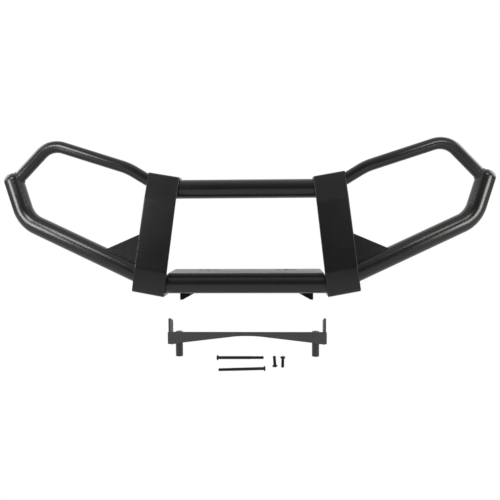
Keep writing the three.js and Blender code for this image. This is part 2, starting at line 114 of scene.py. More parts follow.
def closed_mesh(name, points, faces, merge):
    """Mesh from millimetre points, its faces turned outwards; merge joins coinciding points."""
    mesh = bpy.data.meshes.new(name)
    mesh.from_pydata([(x * MM, y * MM, (z - ORIGIN_Z) * MM) for x, y, z in points], [], faces)
    bm = bmesh.new()
    bm.from_mesh(mesh)
    if merge:
        bmesh.ops.remove_doubles(bm, verts=bm.verts, dist=1e-6)
    bmesh.ops.recalc_face_normals(bm, faces=bm.faces)
    bm.to_mesh(mesh)
    bm.free()
    return mesh


def make(name, points, faces, material, body, node=None, smooth=35):
    """Object that rides on body and, if node is named, stands for that piece of the CAD. Edges
    sharper than smooth, in degrees, stay sharp."""
    mesh = closed_mesh(name, points, faces, merge=True)
    obj = show(bpy.data.objects.new(name, mesh))
    mesh.shade_smooth()
    mesh.set_sharp_from_angle(angle=math.radians(smooth))
    mesh.materials.clear()
    mesh.materials.append(material[0])
    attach(obj, body)
    if node:
        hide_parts(node)
    return obj


def bake(obj):
    """Applies the object's modifiers to its mesh."""
    graph = bpy.context.evaluated_depsgraph_get()
    mesh = bpy.data.meshes.new_from_object(obj.evaluated_get(graph))
    obj.modifiers.clear()
    obj.data = mesh
    return obj


def bevel(obj, width, segments=3, angle=32):
    """Rounds the edges sharper than angle, in degrees, by width in millimetres."""
    modifier = obj.modifiers.new("edge_round", "BEVEL")
    modifier.width = width * MM
    modifier.segments = segments
    modifier.limit_method = "ANGLE"
    modifier.angle_limit = math.radians(angle)
    modifier.harden_normals = True
    modifier.use_clamp_overlap = True
    bake(obj)
    return obj


def bent_path(corners, radii, steps):
    """Stations (point, tangent) through corners with an arc at each inner corner."""
    pts = [Vector(c) for c in corners]
    dirs = [(pts[i + 1] - pts[i]).normalized() for i in range(len(pts) - 1)]
    out = [(pts[0].copy(), dirs[0])]
    for i in range(1, len(pts) - 1):
        a, b, radius = dirs[i - 1], dirs[i], radii[i - 1]
        turn = a.angle(b)
        axis = a.cross(b).normalized()
        centre_arm = axis.cross(a)
        start = pts[i] - a * radius * math.tan(turn / 2)
        centre = start + centre_arm * radius
        for k in range(steps + 1):
            q = Quaternion(axis, turn * k / steps)
            out.append((centre + q @ (-centre_arm * radius), q @ a))
    out.append((pts[-1].copy(), dirs[-1]))
    return out


def divided(stations, longest=40):
    """The same path with its long straights cut up."""
    out = [stations[0]]
    for (p, t), (q, u) in zip(stations, stations[1:]):
        pieces = max(1, math.ceil((q - p).length / longest))
        for k in range(1, pieces):
            out.append((p.lerp(q, k / pieces), t.lerp(u, k / pieces).normalized()))
        out.append((q, u))
    return out


def frames(stations):
    """Adds two cross vectors to each station, carried along without twist."""
    t0 = stations[0][1]
    n = Vector((1, 0, 0)) if abs(t0.y) > 0.9 else Vector((0, 1, 0))
    n = (n - t0 * n.dot(t0)).normalized()
    out = []
    for i, (p, t) in enumerate(stations):
        if i:
            n = stations[i - 1][1].rotation_difference(t) @ n
        out.append((p, n.copy(), t.cross(n)))
    return out


def ring_faces(rings, sides, closed=False):
    """Faces between neighbouring rings; closed joins the last ring to the first."""
    faces = []
    for i in range(rings if closed else rings - 1):
        j = (i + 1) % rings
        for k in range(sides):
            m = (k + 1) % sides
            faces.append((i * sides + k, i * sides + m, j * sides + m, j * sides + k))
    return faces


def end_faces(sides, total):
    """Faces that close off the first and the last ring of total points."""
    return [tuple(reversed(range(sides))), tuple(range(total - sides, total))]


def row_faces(rows, sides):
    """Faces between neighbouring rows of a turned solid; a row of one point is on its axis."""
    faces = []
    for low, high in zip(rows, rows[1:]):
        for k in range(sides):
            m = (k + 1) % sides
            if len(low) == 1:
                faces.append((low[0], high[k], high[m]))
            elif len(high) == 1:
                faces.append((low[k], low[m], high[0]))
            else:
                faces.append((low[k], low[m], high[m], high[k]))
    return faces


def pipe(name, stations, outer, inner, material, body, node=None, sides=72, lip=0.5):
    """Hollow tube along a path, its end edges eased by lip."""
    base = frames(divided(stations))
    (p0, n0, s0), (p1, n1, s1) = base[0], base[-1]
    t0, t1 = stations[0][1], stations[-1][1]
    loops = [(p0 + t0 * lip, n0, s0, inner), (p0, n0, s0, inner + lip), (p0, n0, s0, outer - lip),
             (p0 + t0 * lip, n0, s0, outer)]
    loops += [(p, n, s, outer) for p, n, s in base[1:-1]]
    loops += [(p1 - t1 * lip, n1, s1, outer), (p1, n1, s1, outer - lip),
              (p1, n1, s1, inner + lip), (p1 - t1 * lip, n1, s1, inner)]
    loops += [(p, n, s, inner) for p, n, s in reversed(base[1:-1])]
    verts = []
    for p, n, s, r in loops:
        for k in range(sides):
            a = 2 * math.pi * (k + 0.5) / sides
            verts.append(p + n * (r * math.cos(a)) + s * (r * math.sin(a)))
    faces = ring_faces(len(loops), sides, closed=True)
    return make(name, verts, faces, material, body, node)


def turned(profile, origin, axis, sides=64):
    """Points and faces of a solid of revolution. profile is (radius, along axis); a radius of
    0 closes it on the axis."""
    q = Vector((0, 0, 1)).rotation_difference(Vector(axis).normalized())
    verts, rows = [], []
    for r, h in profile:
        if r < 1e-6:
            rows.append([len(verts)])
            verts.append(Vector(origin) + q @ Vector((0, 0, h)))
            continue
        rows.append(list(range(len(verts), len(verts) + sides)))
        for k in range(sides):
            a = 2 * math.pi * k / sides
            verts.append(Vector(origin) + q @ Vector((r * math.cos(a), r * math.sin(a), h)))
    return verts, row_faces(rows, sides)


def rounded(outline, radii, steps=8):
    """Closed outline with its corners rounded, by one radius or by a list of them."""
    out = []
    count = len(outline)
    for i, corner in enumerate(outline):
        radius = radii[i] if isinstance(radii, (list, tuple)) else radii
        p = Vector(corner)
        if not radius:
            out.append(p)
            continue
        u = (Vector(outline[i - 1]) - p).normalized()
        w = (Vector(outline[(i + 1) % count]) - p).normalized()
        half = u.angle(w) / 2
        centre = p + (u + w).normalized() * (radius / math.sin(half))
        start = p + u * (radius / math.tan(half)) - centre
        end = p + w * (radius / math.tan(half)) - centre
        sweep = math.atan2(start.x * end.y - start.y * end.x, start.dot(end))
        for k in range(steps + 1):
            a = sweep * k / steps
            out.append(centre + Vector((start.x * math.cos(a) - start.y * math.sin(a),
                                        start.x * math.sin(a) + start.y * math.cos(a))))
    return out


def circle(x, y, r, sides=48):
    return [Vector((x + r * math.cos(2 * math.pi * k / sides),
                    y + r * math.sin(2 * math.pi * k / sides))) for k in range(sides)]


def slab(name, outline, holes, low, high, place, material, body, node=None, edge=0.5):
    """Plate: an outline with holes in (a, b), from low to high along c; place maps (a, b, c)
    to millimetres. The plate's edges are rounded by edge."""
    bm = bmesh.new()
    for loop in [outline, *holes]:
        ring = [bm.verts.new((p[0], p[1], low)) for p in loop]
        for i, vert in enumerate(ring):
            bm.edges.new((vert, ring[(i + 1) % len(ring)]))
    bmesh.ops.triangle_fill(bm, use_beauty=True, use_dissolve=False, edges=bm.edges[:])
    top = bmesh.ops.extrude_face_region(bm, geom=bm.faces[:])
    bmesh.ops.translate(bm, vec=(0, 0, high - low),
                        verts=[v for v in top["geom"] if isinstance(v, bmesh.types.BMVert)])
    bmesh.ops.dissolve_limit(bm, angle_limit=0.01, verts=bm.verts[:], edges=bm.edges[:])
    bm.verts.index_update()
    verts = [place(*v.co) for v in bm.verts]
    faces = [[v.index for v in f.verts] for f in bm.faces]
    bm.free()
    piece = make(name, verts, faces, material, body, node)
    return bevel(piece, edge) if edge else piece


def box_points(x0, x1, y0, y1, z0, z1):
    """Points and faces of a box."""
    x0, x1 = sorted((x0, x1))
    verts = [(x, y, z) for x in (x0, x1) for y in (y0, y1) for z in (z0, z1)]
    return verts, [(0, 1, 3, 2), (4, 6, 7, 5), (0, 4, 5, 1), (2, 3, 7, 6), (0, 2, 6, 4),
                   (1, 5, 7, 3)]


def cut_with(piece, shape):
    """Subtracts a solid given as (points, faces) and deletes it."""
    cutter = show(bpy.data.objects.new("cutter", closed_mesh("cutter", *shape, merge=False)))
    modifier = piece.modifiers.new("cut", "BOOLEAN")
    modifier.operation = "DIFFERENCE"
    modifier.solver = "EXACT"
    modifier.object = cutter
    bake(piece)
    bpy.data.objects.remove(cutter)


# ------------------------------------------------------------------ materials
class Nodes:
    """Short-hand for building the node tree of a material or a world, emptied first."""

    def __init__(self, owner):
        owner.use_nodes = True
        self.tree = owner.node_tree
        self.tree.nodes.clear()

    def add(self, kind, values=None, **attributes):
        node = self.tree.nodes.new(kind)
        for key, value in attributes.items():
            setattr(node, key, value)
        for key, value in (values or {}).items():
            node.inputs[key].default_value = value
        return node

    def link(self, source, target):
        self.tree.links.new(source, target)

    def ramp(self, source, stops):
        node = self.add("ShaderNodeMapRange", {"From Min": stops[0], "From Max": stops[1],
                                               "To Min": stops[2], "To Max": stops[3]})
        self.link(source, node.inputs["Value"])
        return node.outputs["Result"]

    def maths(self, operation, *values):
        node = self.add("ShaderNodeMath", operation=operation)
        for k, value in enumerate(values):
            if isinstance(value, (int, float)):
                node.inputs[k].default_value = value
            else:
                self.link(value, node.inputs[k])
        return node.outputs[0]


CLOUD_MM, BREAKUP_MM = 55, 7        # size of the drift in tone and of the breaks in worn edges


def coated(name, slot, dark, light, rough, grain, bump, worn=(0.05, 0.05, 0.05), wear=0.5,
           specular=0.5, rim=1.0):
    """Powder-coated or blackened steel. dark and light are the base colours it drifts between
    and rough the range of roughness; grain and bump are the size and height of the surface
    texture in millimetres; worn and wear are the colour and strength of wear on the edges; rim
    is the share of the specular level left where the surface is seen edge-on."""
    material = bpy.data.materials.new(name)
    n = Nodes(material)
    out = n.add("ShaderNodeOutputMaterial")
    shader = n.add("ShaderNodeBsdfPrincipled", {"IOR": 1.5, "Specular IOR Level": specular})
    n.link(shader.outputs["BSDF"], out.inputs["Surface"])
    where = n.add("ShaderNodeTexCoord").outputs["Object"]

    def texture(size_mm, detail, roughness=0.5):
        node = n.add("ShaderNodeTexNoise", {"Scale": 1000.0 / size_mm, "Detail": detail,
                                            "Roughness": roughness})
        n.link(where, node.inputs["Vector"])
        return node.outputs["Fac"]

    cloud = texture(CLOUD_MM, 4)
    speck = texture(grain * 2.4, 2)
    peel = texture(grain * 3.2, 1.5)
    fine = texture(grain, 2, 0.6)
    edges = n.ramp(n.add("ShaderNodeNewGeometry").outputs["Pointiness"], (0.56, 0.70, 0.0, 1.0))
    breakup = n.ramp(texture(BREAKUP_MM, 5, 0.65), (0.42, 0.6, 0.15, 1.0))

    colour = n.add("ShaderNodeMix", data_type="RGBA")
    colour.inputs["A"].default_value = (*dark, 1)
    colour.inputs["B"].default_value = (*light, 1)
    drift = n.maths("MULTIPLY", n.ramp(cloud, (0.3, 0.7, 0.0, 1.0)),
                    n.ramp(speck, (0.35, 0.65, 0.4, 1.0)))
    n.link(drift, colour.inputs["Factor"])
    aged = n.add("ShaderNodeMix", data_type="RGBA")
    aged.inputs["B"].default_value = (*worn, 1)
    n.link(colour.outputs["Result"], aged.inputs["A"])
    n.link(n.maths("MULTIPLY", n.maths("MULTIPLY", edges, breakup), wear), aged.inputs["Factor"])
    n.link(aged.outputs["Result"], shader.inputs["Base Color"])

    n.link(n.ramp(cloud, (0.25, 0.75, *rough)), shader.inputs["Roughness"])
    if rim < 1:
        facing = n.add("ShaderNodeLayerWeight", {"Blend": 0.5}).outputs["Facing"]
        n.link(n.ramp(facing, (0.25, 0.95, specular, specular * rim)),
               shader.inputs["Specular IOR Level"])

    relief = n.add("ShaderNodeBump", {"Strength": 1.0, "Distance": bump * MM})
    n.link(n.maths("MULTIPLY_ADD", peel, 1.6, fine), relief.inputs["Height"])
    n.link(relief.outputs["Normal"], shader.inputs["Normal"])
    return material, slot


# satin coat of the guard, grey coat of the bracket, blackened screws
POWDER = coated("satin_black_powder_coat", "guard_powder_coat", (0.0050, 0.0050, 0.0051),
                (0.0085, 0.0085, 0.0084), (0.25, 0.29), 0.55, 0.003)
WELD = coated("powder_coat_over_weld", "guard_powder_coat", (0.0045, 0.0045, 0.0046),
              (0.0075, 0.0075, 0.0074), (0.24, 0.30), 0.6, 0.007)
BRACKET = coated("textured_grey_coat", "bracket_coat", (0.048, 0.048, 0.047),
                 (0.066, 0.066, 0.065), (0.50, 0.62), 0.8, 0.045, worn=(0.12, 0.12, 0.12))
SLEEVE = coated("smooth_grey_coat", "bracket_coat", (0.022, 0.022, 0.022),
                (0.034, 0.034, 0.033), (0.30, 0.38), 0.6, 0.012, worn=(0.12, 0.12, 0.12))
OXIDE = coated("black_oxide_steel", "black_oxide", (0.009, 0.009, 0.010),
               (0.016, 0.016, 0.016), (0.50, 0.62), 0.3, 0.006, worn=(0.10, 0.10, 0.095),
               wear=0.35, specular=0.3, rim=0.12)
PLATE_COAT = coated("satin_black_on_plate", "guard_powder_coat", (0.0045, 0.0045, 0.0046),
                    (0.0075, 0.0075, 0.0074), (0.36, 0.42), 0.55, 0.010, rim=0.7)
# duller, slightly darker copy of the satin coat so the gussets render darker: painted shade
GUSSET_SHADE_COAT = coated("satin_black_shaded_on_gusset", "guard_powder_coat", (0.0045, 0.0045, 0.0046),
                     (0.0075, 0.0075, 0.0074), (0.34, 0.40), 0.55, 0.008, specular=0.30)
# darker, duller copy of the guard's coat: painted shade on the mounting tabs and in the light
# plate's hole rims
PAINTED_SHADE_COAT = coated("painted_shade_coat", "guard_powder_coat", (0.0030, 0.0030, 0.0031),
                (0.0050, 0.0050, 0.0050), (0.55, 0.62), 0.7, 0.012, specular=0.12)


# ------------------------------------------------------------------ tubes
def flip(p):
    """Mirrors a point or direction from one side of the guard to the other."""
    return (-p[0], p[1], p[2])


lower_path = bent_path([flip(WING_TIP), flip(WING_BEND), flip(LOWER_BEND), LOWER_BEND, WING_BEND,
                        WING_TIP], [MAIN_CLR] * 4, 18)
pipe("lower_tube", lower_path, MAIN_R, MAIN_R - MAIN_WALL, POWDER, "guard", "lower_main_tube")
upper_path = bent_path([(-UPPER_HALF, UPPER_Y, UPPER_Z), (UPPER_HALF, UPPER_Y, UPPER_Z)], [], 1)
pipe("upper_tube", upper_path, MAIN_R, MAIN_R - MAIN_WALL, POWDER, "guard", "upper_cross_tube")
tip_point, tip_axis = lower_path[-1]


def mirrored(stations, side):
    if side > 0:
        return stations
    return [(Vector(flip(p)), Vector(flip(t))) for p, t in stations]


def outside_of_tip(p):
    """Distance-like value, positive outside the right wing tube's end and its dome."""
    along = (p - tip_point).dot(tip_axis)
    radial = (p - tip_point - tip_axis * along).length
    if along < 0:
        return radial - MAIN_R
    return (math.hypot(radial / MAIN_R, along / CAP_RISE) - 1) * CAP_RISE


def outside_of_upper(p):
    """Distance-like value, positive outside the cross tube."""
    radial = math.hypot(p.y - UPPER_Y, p.z - UPPER_Z)
    return max(radial - MAIN_R, p.x - UPPER_HALF)


def crossing(low, high, inside, steps):
    """Last value between low and high for which inside still holds."""
    for _ in range(steps):
        mid = (low + high) / 2
        if inside(mid):
            low = mid
        else:
            high = mid
    return low


def exit_loop(start, direction, outside, reach=70, count=72):
    """Where the hoop's surface leaves a solid, as a closed loop of points."""
    base = frames([(start, direction)])[0]
    loop = []
    for k in range(count):
        a = 2 * math.pi * k / count
        arm = base[1] * (HOOP_R * math.cos(a)) + base[2] * (HOOP_R * math.sin(a))
        gone = crossing(0.0, reach, lambda t: outside(start + arm + direction * t) < 0, 28)
        loop.append(start + arm + direction * gone)
    return loop


def bead(name, points, closed, radius, side, pitch=BEAD_PITCH):
    """Weld bead: a round fillet laid over a seam, with overlapping ripples along it."""
    pts = [Vector(flip(p)) if side < 0 else Vector(p) for p in points]
    if closed:
        pts.append(pts[0])
    lengths = [0.0]
    for a, b in zip(pts, pts[1:]):
        lengths.append(lengths[-1] + (b - a).length)
    total = lengths[-1]
    count = max(12, round(total / (pitch / 5)))
    ripples = max(2, round(total / pitch))
    centres = []
    j = 0
    for i in range(count + (0 if closed else 1)):
        s = total * i / count
        while j < len(pts) - 2 and lengths[j + 1] < s:
            j += 1
        f = (s - lengths[j]) / max(1e-9, lengths[j + 1] - lengths[j])
        centres.append((pts[j].lerp(pts[j + 1], f), s / total))
    sides = 14
    verts = []
    n = None
    rings = len(centres)
    for i, (p, share) in enumerate(centres):
        before = centres[(i - 1) % rings][0] if closed or i else p
        after = centres[(i + 1) % rings][0] if closed or i < rings - 1 else p
        t = (after - before).normalized()
        if n is None:
            n = t.orthogonal().normalized()
        n = (n - t * n.dot(t)).normalized()
        b = t.cross(n)
        phase = (share * ripples) % 1.0
        swell = 0.86 + 0.2 * math.sqrt(max(0.0, 1 - (2 * phase - 1) ** 2))
        swell *= 1 + 0.10 * noise.noise(Vector((share * total * 0.11, radius, 7.3 * side)))
        if not closed:
            swell *= math.sin(math.pi * min(1, max(0.03, min(share, 1 - share) * total / 7)) / 2)
        for k in range(sides):
            a = 2 * math.pi * k / sides
            verts.append(p + n * (radius * swell * math.cos(a))
                         + b * (radius * swell * math.sin(a)))
    faces = ring_faces(rings, sides, closed)
    if not closed:
        faces += end_faces(sides, len(verts))
    make(name, verts, faces, WELD, "guard", smooth=60)


hoop_right = bent_path(HOOP_PATH, HOOP_CLRS, 20)
hoop_first = (Vector(HOOP_PATH[1]) - Vector(HOOP_PATH[0])).normalized()
hoop_last = (Vector(HOOP_PATH[2]) - Vector(HOOP_PATH[3])).normalized()
tip_seam = exit_loop(Vector(HOOP_PATH[0]), hoop_first, outside_of_tip)
root_seam = exit_loop(Vector(HOOP_PATH[3]), hoop_last, outside_of_upper)
for word, side in SIDES:
    path = mirrored(hoop_right, side)
    pipe(f"hoop_{word}", path, HOOP_R, HOOP_R - HOOP_WALL, POWDER, "guard", f"hoop_tube_{word}")
    # domed end cap with its plug
    inner = MAIN_R - MAIN_WALL - CAP_PLUG_PLAY
    profile = [(0, -CAP_PLUG_DEPTH), (inner, -CAP_PLUG_DEPTH), (inner, CAP_SHOULDER),
               (MAIN_R - 0.15, CAP_SHOULDER)]
    profile += [(MAIN_R * math.cos(a), GAP + CAP_RISE * math.sin(a))
                for a in (math.pi / 2 * k / 28 for k in range(1, 28))]
    profile += [(0, GAP + CAP_RISE)]
    centre = flip(tip_point) if side < 0 else tip_point
    axis = flip(tip_axis) if side < 0 else tip_axis
    verts, faces = turned(profile, centre, axis, 72)
    make(f"end_cap_{word}", verts, faces, POWDER, "guard", f"tube_end_cap_{word}")
    bead(f"weld_hoop_tip_{word}", tip_seam, True, TIP_BEAD_R, side)
    bead(f"weld_hoop_root_{word}", root_seam, True, ROOT_BEAD_R, side)


# ------------------------------------------------------------------ uprights
def strap_middle_x(z):
    """How far out the middle of the strap is at height z."""
    i = 0
    while i < 2 and z > STRAP_CORNERS[i + 1][2]:
        i += 1
    a, b = STRAP_CORNERS[i], STRAP_CORNERS[i + 1]
    return a[0] + (b[0] - a[0]) * (z - a[2]) / (b[2] - a[2])


def strap_place(side):
    """Maps a point of the strap's section and its place across the width to millimetres."""
    def place(y, z, s):
        return (side * (strap_middle_x(z) + s * math.cos(STRAP_ROLL) * math.cos(STRAP_YAW)),
                y + s * math.sin(STRAP_YAW),
                z + s * math.sin(STRAP_ROLL) * math.cos(STRAP_YAW))
    return place


def offset_line(points, d):
    """Open line moved sideways by d, its corners mitred."""
    sides = []
    for p, q in zip(points, points[1:]):
        along = (Vector(q) - Vector(p)).normalized()
        sides.append(Vector((along.y, -along.x)))
    out = []
    for i, p in enumerate(points):
        a, b = sides[max(0, i - 1)], sides[min(len(sides) - 1, i)]
        mitre = (a + b).normalized()
        out.append(tuple(Vector(p) + mitre * (d / mitre.dot(a))))
    return out


def strap_outline(inset):
    """Section of the strap in (y, z) with its outer and inner faces moved in by inset."""
    line = [(STRAP_REAR_Y, STRAP_CORNERS[0][2])] + [(c[1], c[2]) for c in STRAP_CORNERS]
    line.append((STRAP_REAR_Y, STRAP_CORNERS[-1][2]))
    outer = offset_line(line, inset)
    back = offset_line(line, STRAP_THICK - inset)
    fold, back_fold = STRAP_FOLD_R - inset, STRAP_FOLD_R - STRAP_THICK + inset
    bend, back_bend = STRAP_BEND_R, STRAP_BEND_R - STRAP_THICK
    radii = [0, fold, bend, bend, fold, 0, 0, back_fold, back_bend, back_bend, back_fold, 0]
    return rounded(outer + back[::-1], radii, 10)


def strap_solid(side, push=0.0):
    """Strap as a grid: its section run across the width, the long edges rounded, the rear
    corners rounded off. push moves it to the rear."""
    half = STRAP_WIDTH / 2
    place = strap_place(side)
    stations = {half - STRAP_EDGE_R * (1 - math.cos(math.pi / 2 * k / 6)) for k in range(7)}
    stations |= {half - STRAP_CORNER_R * (1 - math.cos(math.pi / 2 * k / 8)) for k in range(4, 9)}
    stations = sorted(stations | {-s for s in stations})
    verts, faces = [], []
    for s in stations:
        near = max(0.0, abs(s) - (half - STRAP_EDGE_R))
        inset = STRAP_EDGE_R - math.sqrt(max(0.0, STRAP_EDGE_R ** 2 - near ** 2))
        off = max(0.0, abs(s) - (half - STRAP_CORNER_R))
        rear = STRAP_REAR_Y - STRAP_CORNER_R - inset + math.sqrt(
            max(0.0, STRAP_CORNER_R ** 2 - off ** 2))
        outline = strap_outline(inset)
        for p in outline:
            verts.append(place(min(p[0], rear) + push, p[1], s))
    count = len(outline)
    return verts, ring_faces(len(stations), count) + end_faces(count, len(verts))


for word, side in SIDES:
    make(f"upright_{word}", *strap_solid(side), POWDER, "guard", f"upright_strap_{word}")


# ------------------------------------------------------------------ light plate
plate_holes = [circle(side * x, PLATE_HOLE_Y, r) for _, side in SIDES for x, r in PLATE_HOLES]
plate_base = MAIN_R + GAP
plate_top = plate_base + PLATE_THICK
plate = slab("light_plate_top", rounded([(-PLATE_HALF, PLATE_Y[0]), (PLATE_HALF, PLATE_Y[0]),
                                         (PLATE_HALF, PLATE_Y[1]), (-PLATE_HALF, PLATE_Y[1])], 3),
             plate_holes, plate_base, plate_top, lambda a, b, c: (a, b, c),
             PLATE_COAT, "guard", "light_plate", edge=0.12)
# 45 degree rims, cut by cones that pass 1 mm above the plate; rims and walls get the darker, duller
# coat as painted shade
for _, side in SIDES:
    for x, r in PLATE_HOLES:
        flare = [(0, -SINK_DEPTH), (r, -SINK_DEPTH), (r + SINK_DEPTH + 1, 1), (0, 1)]
        cut_with(plate, turned(flare, (side * x, PLATE_HOLE_Y, plate_top), (0, 0, 1)))
# faces in and around the holes take the painted shade coat
plate.data.materials.append(PAINTED_SHADE_COAT[0])
for face in plate.data.polygons:
    x, y = face.center.x / MM, face.center.y / MM - PLATE_HOLE_Y
    if any(math.hypot(abs(x) - at, y) < r + SINK_DEPTH for at, r in PLATE_HOLES):
        face.material_index = 1
plate.data.set_sharp_from_angle(angle=math.radians(30))


def seam_fill(name, x_from, x_to, section, pitch):
    """Fillet of weld along X with a fixed cross-section in (y, z), rippled along its length."""
    centre = Vector((sum(p[0] for p in section), sum(p[1] for p in section))) / len(section)
    count = round(abs(x_to - x_from) / (pitch / 5))
    verts = []
    for i in range(count + 1):
        x = x_from + (x_to - x_from) * i / count
        phase = ((x - x_from) / pitch + 1000) % 1.0
        swell = 0.97 + 0.03 * math.sqrt(max(0.0, 1 - (2 * phase - 1) ** 2))
        swell *= 1 + 0.02 * noise.noise(Vector((x * 0.05, 3.1, 9.7)))
        for y, z in section:
            verts.append((x, centre.x + (y - centre.x) * swell,
                          centre.y + (z - centre.y) * swell))
    faces = ring_faces(count + 1, len(section)) + end_faces(len(section), len(verts))
    make(name, verts, faces, WELD, "guard", smooth=60)


seam_fill("weld_plate_front", -PLATE_HALF + 1, PLATE_HALF - 1,
          [(PLATE_Y[0] + y, z) for y, z in PLATE_WELD], PLATE_WELD_PITCH)

# ------------------------------------------------------------------ gussets, tabs, bosses
run = Vector((WING_BEND[0] - LOWER_BEND[0], WING_BEND[1] - LOWER_BEND[1], 0)).normalized()
across = Vector((-run.y, run.x, 0))


def tube_top_at(x, y, lift):
    """Height of the wing tube's upper surface, raised by lift, above (x, y)."""
    direction = (Vector(WING_BEND) - Vector(LOWER_BEND)).normalized()
    base = Vector(LOWER_BEND)
    centre = base + direction * ((Vector((x, y, 0)) - base).dot(run) / direction.dot(run))

    def inside(z):
        p = Vector((x, y, z)) - base
        return (p - direction * p.dot(direction)).length < MAIN_R + lift

    return crossing(centre.z, centre.z + 80, inside, 30)


def gusset_point(along, to_rear):
    """Point in plan: along the wing tube from the gusset's foot, and off its middle plane."""
    return Vector((*GUSSET_FOOT, 0)) + run * along + across * to_rear


def gusset_place(side):
    """Maps along the wing tube, height and off the middle plane to millimetres."""
    def place(a, b, c):
        p = gusset_point(a, c)
        return (side * p.x, p.y, b)
    return place


for word, side in SIDES:
    # the gussets take the duller coat, which paints shade on them
    gusset = slab(f"gusset_{word}", rounded(GUSSET_OUTLINE, 0), [], -GUSSET_THICK / 2,
                  GUSSET_THICK / 2, gusset_place(side), GUSSET_SHADE_COAT, "guard",
                  f"wing_gusset_{word}", edge=0)
    cut_with(gusset, strap_solid(side, 0.4))
    bevel(gusset, 0.6)
    for face, to_rear in (("front", -GUSSET_BEAD_OFFSET), ("rear", GUSSET_BEAD_OFFSET)):
        seam = []
        for k in range(13):
            near, far = GUSSET_BEAD_SPAN
            p = gusset_point(near + (far - near) * k / 12, to_rear)
            seam.append((p.x, p.y, tube_top_at(p.x, p.y, 0.2)))
        bead(f"weld_gusset_{face}_{word}", seam, False, GUSSET_BEAD_R, side)

    # the tab ears and feet take the darker, duller coat: painted shade under the tube
    slab(f"tab_ear_{word}", rounded(TAB_OUTLINE, [0, 1, 1, 2, 8, 8, 0]),
         [circle(*TAB_HOLE)], TAB_X, TAB_X + TAB_THICK,
         lambda a, b, c, side=side: (side * c, a, b), PAINTED_SHADE_COAT, "guard", f"mount_tab_{word}",
         edge=0.5)
    slab(f"tab_foot_{word}", rounded(TAB_FOOT, [2, 0, 0, 0, 2]), [], TAB_FRONT_Y,
         TAB_FRONT_Y + TAB_THICK, lambda a, b, c, side=side: (side * a, c, b), PAINTED_SHADE_COAT, "guard",
         edge=0.5)
    y, z = TAB_HOLE[:2]
    start = TAB_X + TAB_THICK + 0.2
    root = BOSS_BORE + BOSS_THREAD_DEPTH
    profile = [(root, start), (BOSS_R - 0.3, start), (BOSS_R, start + 0.4),
               (BOSS_R, BOSS_END_X - 0.7), (BOSS_R - 0.7, BOSS_END_X),
               (BOSS_BORE + 0.7, BOSS_END_X), (BOSS_BORE, BOSS_END_X - 0.7)]
    turns = int((BOSS_END_X - start - 2) / PITCH)
    for k in range(turns):
        top = BOSS_END_X - 0.9 - k * PITCH
        profile += [(BOSS_BORE, top), (root, top - PITCH / 2)]
    profile += [(root, start)]
    verts, faces = turned(profile, (0, y, z), (side, 0, 0), 48)
    make(f"boss_{word}", verts, faces, POWDER, "guard", f"threaded_boss_{word}")
    ring = [(TAB_X + TAB_THICK + 0.4, y + (BOSS_R + 0.3) * math.cos(a),
             z + (BOSS_R + 0.3) * math.sin(a))
            for a in (2 * math.pi * k / 40 for k in range(40))]
    bead(f"weld_boss_{word}", ring, True, BOSS_BEAD_R, side, BOSS_BEAD_PITCH)

# ------------------------------------------------------------------ bracket
def crossmember():
    """Folded channel: rounded L section run along X, its lower edge bowed up in the middle."""
    t = WEB_THICK
    slope = math.atan2(FLANGE_DROP, FLANGE_DEPTH)
    edge = [(-x, z) for x, z in WEB_EDGE] + [(x, z) for x, z in WEB_EDGE[::-1]]
    smooth_edge = rounded([(-WEB_HALF, 5)] + edge + [(WEB_HALF, 5)],
                          [0] + WEB_EDGE_RADII + WEB_EDGE_RADII[::-1] + [0], 8)
    stations = sorted({round(p.x, 3) for p in smooth_edge}
                      | {round(-WEB_HALF + 2 * WEB_HALF * k / 60, 3) for k in range(61)}
                      | {-FLANGE_HALF, FLANGE_HALF})

    def lower_z(x):
        for p, q in zip(smooth_edge[1:], smooth_edge[2:]):
            if p.x <= x <= q.x and q.x > p.x:
                return p.y + (q.y - p.y) * (x - p.x) / (q.x - p.x)
        return -33

    upper = rounded([(0, -20), (0, 0), (FLANGE_DEPTH, -FLANGE_DROP),
                     (FLANGE_DEPTH - t * math.sin(slope), -FLANGE_DROP - t * math.cos(slope)),
                     (t, -t - t * math.tan(slope)), (t, -20)], [0, 4.5, 0, 0, 1.8, 0], 8)[1:-1]
    verts = []
    for x in stations:
        z = lower_z(x)
        verts += [(BX + x, BY, BZ + z)] + [(BX + x, BY + p.x, BZ + p.y) for p in upper]
        verts += [(BX + x, BY + t, BZ + z)]
    count = len(upper) + 2
    faces = ring_faces(len(stations), count) + end_faces(count, len(verts))
    piece = make("bracket_web", verts, faces, BRACKET, "bracket", "bracket_crossmember")
    for side in (-1, 1):
        cut_with(piece, box_points(BX + side * FLANGE_HALF, BX + side * (WEB_HALF + 9),
                                   BY + WEB_THICK + 0.02, BY + 60, BZ - 60, BZ + 20))
        cut_with(piece, turned([(0, -60), (SPACER_R + 0.3, -60), (SPACER_R + 0.3, 20), (0, 20)],
                               (BX + side * SPACER_X, BY + SPACER_Y, BZ), (0, 0, 1), 64))
    bevel(piece, 0.45, 2, 40)


